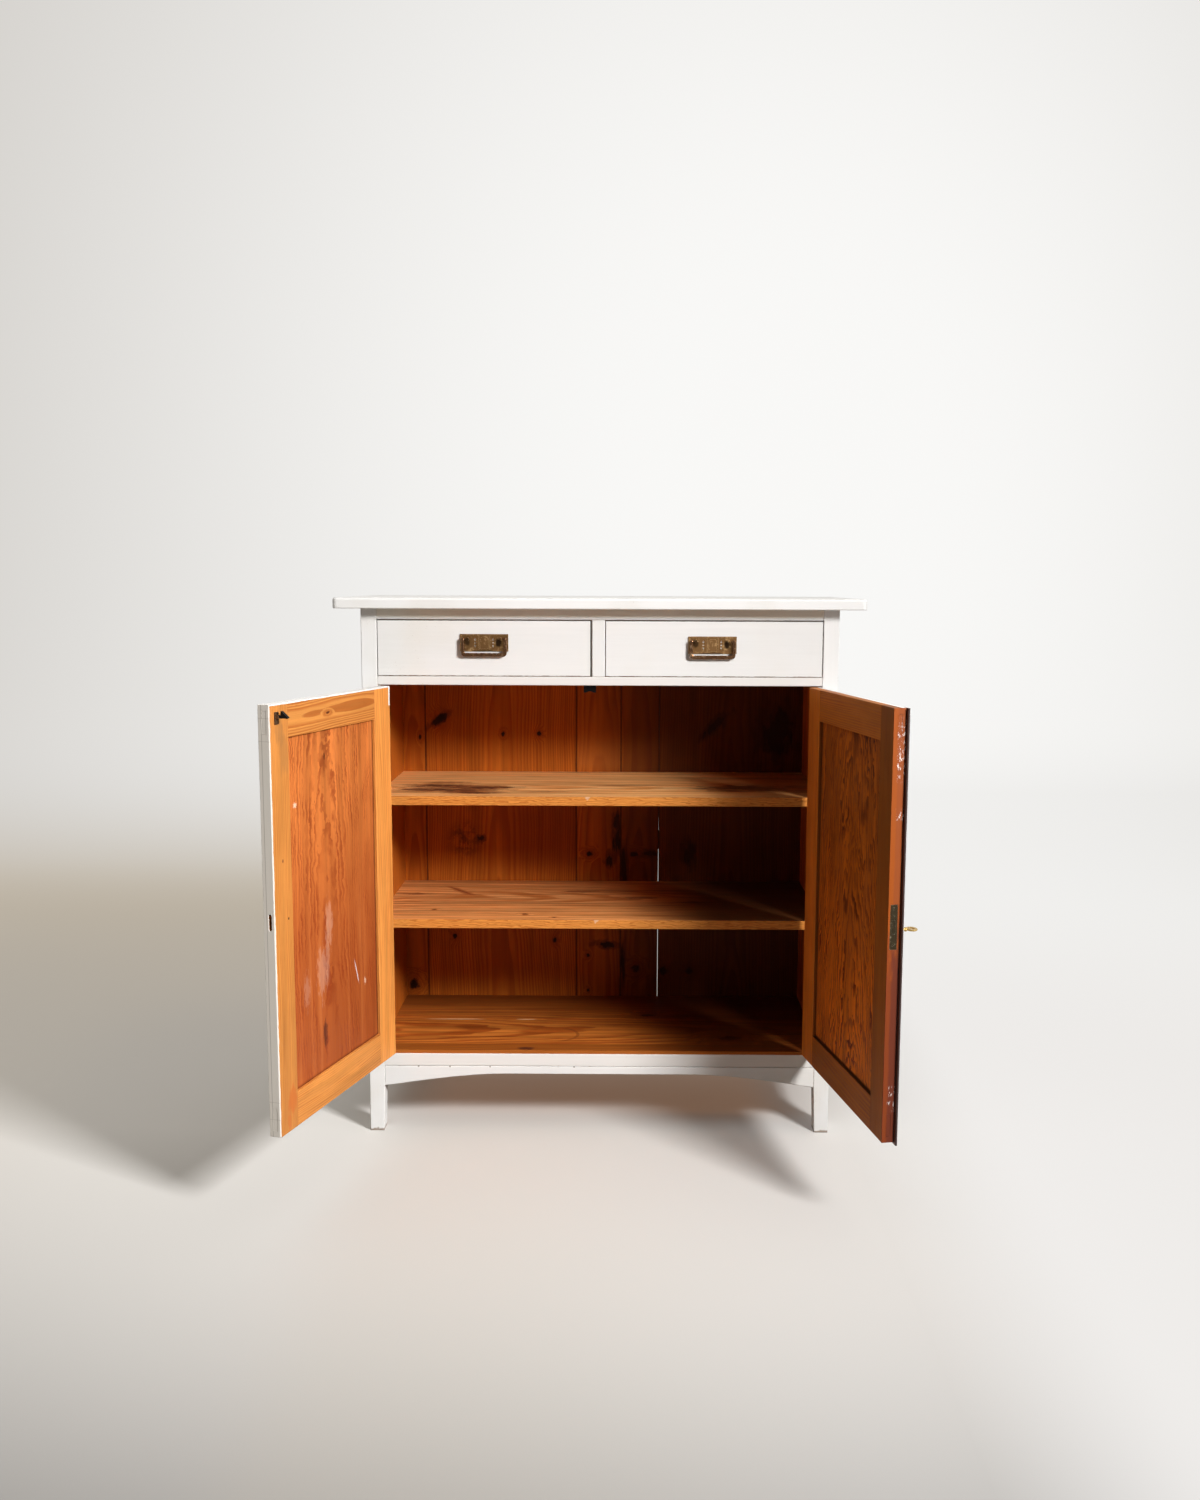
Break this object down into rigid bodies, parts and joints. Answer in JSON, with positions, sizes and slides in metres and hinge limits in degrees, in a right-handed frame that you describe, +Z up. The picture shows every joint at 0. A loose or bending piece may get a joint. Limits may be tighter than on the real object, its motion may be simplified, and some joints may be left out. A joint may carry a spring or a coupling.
{
  "type": "painted pine cupboard",
  "caption": "Free-standing painted wooden cupboard with side-by-side drawers over a pair of framed doors that open on fixed shelves, on post feet with an arched apron.",
  "frame": {"origin": "on the floor, midway across the carcass, midway between the open doors' free edges and the back of the top", "axes": "+X to the right seen from the front, +Y to the back, +Z up"},
  "size_m": [1.1207, 0.8633, 1.1],
  "materials": {
    "white_paint": "old white oil paint, satin, worn through at the edges",
    "pine": "bare aged pine, honey to brown; the doors are white outside",
    "red_pine": "reddish brown pine inside, white paint outside",
    "aged_brass": "dull, brown with age",
    "black_iron": "black",
    "steel": "dull grey brown"
  },
  "bodies": {
    "carcass": {"top_board": "white_paint", "left_side": "white_paint", "right_side": "white_paint", "left_front_post": "white_paint", "right_front_post": "white_paint", "top_rail": "white_paint", "drawer_rail": "white_paint", "bottom_rail": "white_paint", "drawer_divider": "white_paint", "apron": "white_paint", "bottom_board": "pine", "lower_shelf": "pine", "upper_shelf": "pine", "back_board_1": "pine", "back_board_2": "pine", "back_board_3": "pine", "back_board_4": "pine", "back_board_5": "pine", "drawer_back_rail": "pine", "centre_runner": "pine", "catch_strike": "black_iron", "left_lower_post_leaf": "steel", "left_upper_post_leaf": "steel", "right_lower_post_leaf": "steel", "right_upper_post_leaf": "steel"},
    "left_door": {"left_door_hinge_stile": "pine", "left_door_meeting_stile": "pine", "left_door_top_rail": "pine", "left_door_bottom_rail": "pine", "left_door_panel": "red_pine", "left_lower_door_leaf": "steel", "left_upper_door_leaf": "steel", "catch_base": "black_iron"},
    "catch": {"catch_hook": "black_iron"},
    "right_door": {"right_door_hinge_stile": "pine", "right_door_meeting_stile": "pine", "right_door_top_rail": "pine", "right_door_bottom_rail": "pine", "right_door_panel": "red_pine", "right_lower_door_leaf": "steel", "right_upper_door_leaf": "steel", "astragal": "white_paint", "lock_case": "steel"},
    "bolt": {"lock_bolt": "steel"},
    "key": {"key": "aged_brass"},
    "left_drawer": {"left_drawer_front": "white_paint", "left_drawer_left_side": "pine", "left_drawer_right_side": "pine", "left_drawer_back": "pine", "left_drawer_bottom": "pine", "left_pull_plate": "aged_brass"},
    "left_bail": {"left_pull_bail": "aged_brass"},
    "right_drawer": {"right_drawer_front": "white_paint", "right_drawer_left_side": "pine", "right_drawer_right_side": "pine", "right_drawer_back": "pine", "right_drawer_bottom": "pine", "right_pull_plate": "aged_brass"},
    "right_bail": {"right_pull_bail": "aged_brass"}
  },
  "joints": [
    {"name": "left_door_hinge", "type": "hinge", "parent": "carcass", "child": "left_door", "pos_m": [-0.442, 0.009, 0.548], "axis": [0, 0, 1], "range_deg": [-68.1, 106.9]},
    {"name": "right_door_hinge", "type": "hinge", "parent": "carcass", "child": "right_door", "pos_m": [0.442, 0.009, 0.548], "axis": [0, 0, 1], "range_deg": [-100.6, 74.4]},
    {"name": "left_drawer_slide", "type": "slide", "parent": "carcass", "child": "left_drawer", "axis": [0, -1, 0], "range_m": [0, 0.28]},
    {"name": "right_drawer_slide", "type": "slide", "parent": "carcass", "child": "right_drawer", "axis": [0, -1, 0], "range_m": [0, 0.28]},
    {"name": "left_bail_swing", "type": "hinge", "parent": "left_drawer", "child": "left_bail", "pos_m": [-0.22925, 0.0055, 1.01905], "axis": [-1, 0, 0], "range_deg": [0, 85]},
    {"name": "right_bail_swing", "type": "hinge", "parent": "right_drawer", "child": "right_bail", "pos_m": [0.22295, 0.0055, 1.01575], "axis": [-1, 0, 0], "range_deg": [0, 85]},
    {"name": "key_turn", "type": "hinge", "parent": "right_door", "child": "key", "pos_m": [0.51345, -0.3978, 0.5406], "axis": [0.9829, 0.184, 0], "range_deg": [0, 180]},
    {"name": "bolt_slide", "type": "slide", "parent": "right_door", "child": "bolt", "axis": [0.184, -0.9829, 0], "range_m": [0, 0.0082]},
    {"name": "catch_tip", "type": "hinge", "parent": "left_door", "child": "catch", "pos_m": [-0.53401, -0.40357, 0.9046], "axis": [-0.2907, -0.9568, 0], "range_deg": [-18, 0], "stiffness_Nm_per_rad": 0.05, "springref_deg": 11.46}
  ],
  "couplings": [
    {"joint": "bolt_slide", "follows": "key_turn", "m_per_rad": 0.002546}
  ]
}
